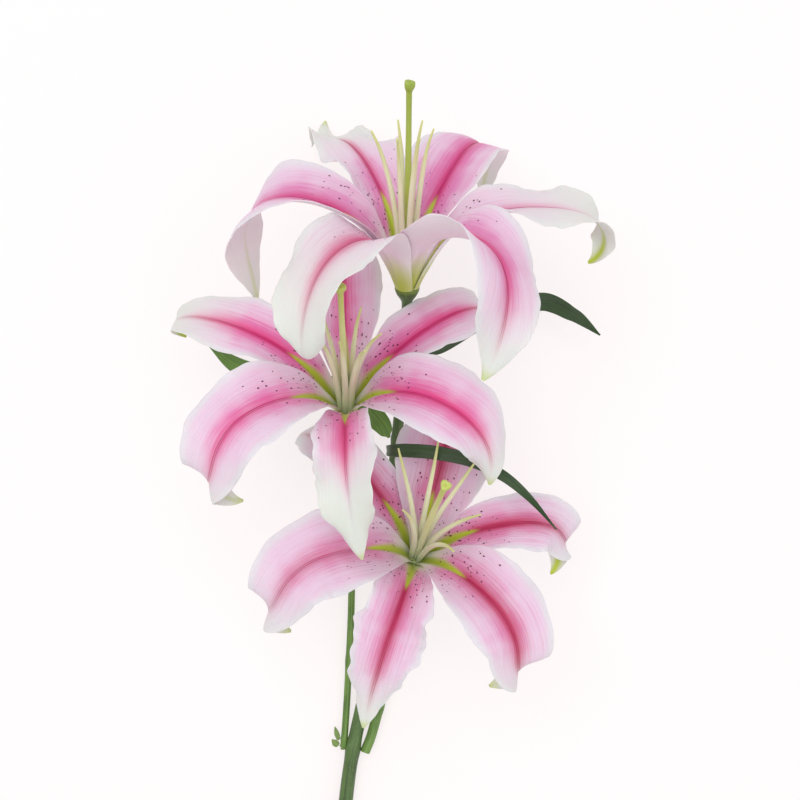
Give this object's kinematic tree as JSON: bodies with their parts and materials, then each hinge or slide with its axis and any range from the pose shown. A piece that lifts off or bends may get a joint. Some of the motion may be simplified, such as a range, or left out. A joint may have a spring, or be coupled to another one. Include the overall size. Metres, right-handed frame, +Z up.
{
  "type": "cut lily",
  "caption": "Cut oriental lily lying down: a leafy green stem forking into open pink and white star-shaped blooms with recurved tepals, bare filaments and long styles.",
  "frame": {"origin": "middle of the bounding box's underside, on the surface the lily lies on", "axes": "+Y from the cut end of the stem towards the blooms, +Z up from the surface, +X to the right seen from above"},
  "size_m": [0.213, 0.407, 0.1581],
  "materials": {
    "inner_tepal": "satin",
    "outer_tepal": "satin",
    "filament": "satin",
    "pistil": "satin",
    "leaf": "satin",
    "stem": "satin"
  },
  "bodies": {
    "root": {"bract": "leaf", "leaf_front": "leaf", "leaf_left": "leaf", "leaf_right": "leaf", "leaf_stub_lower": "stem", "leaf_stub_upper": "stem", "lower_filament_1": "filament", "lower_filament_2": "filament", "lower_filament_3": "filament", "lower_filament_4": "filament", "lower_filament_5": "filament", "lower_filament_6": "filament", "lower_flower_stalk": "stem", "lower_pistil": "pistil", "lower_tepal_bottom": "outer_tepal", "lower_tepal_left": "inner_tepal", "lower_tepal_lower_right": "inner_tepal", "lower_tepal_right": "outer_tepal", "lower_tepal_top": "inner_tepal", "lower_tepal_upper_left": "outer_tepal", "main_stem": "stem", "middle_filament_1": "filament", "middle_filament_2": "filament", "middle_filament_3": "filament", "middle_filament_4": "filament", "middle_filament_5": "filament", "middle_filament_6": "filament", "middle_flower_stalk": "stem", "middle_pistil": "pistil", "middle_tepal_bottom": "outer_tepal", "middle_tepal_lower_left": "inner_tepal", "middle_tepal_right": "inner_tepal", "middle_tepal_top": "inner_tepal", "middle_tepal_upper_left": "outer_tepal", "middle_tepal_upper_right": "outer_tepal", "top_filament_1": "filament", "top_filament_2": "filament", "top_filament_3": "filament", "top_filament_4": "filament", "top_filament_5": "filament", "top_filament_6": "filament", "top_pistil": "pistil", "top_tepal_back_left": "outer_tepal", "top_tepal_back_right": "inner_tepal", "top_tepal_front_left": "outer_tepal", "top_tepal_front_right": "inner_tepal", "top_tepal_left": "inner_tepal", "top_tepal_right": "outer_tepal"}
  },
  "joints": []
}
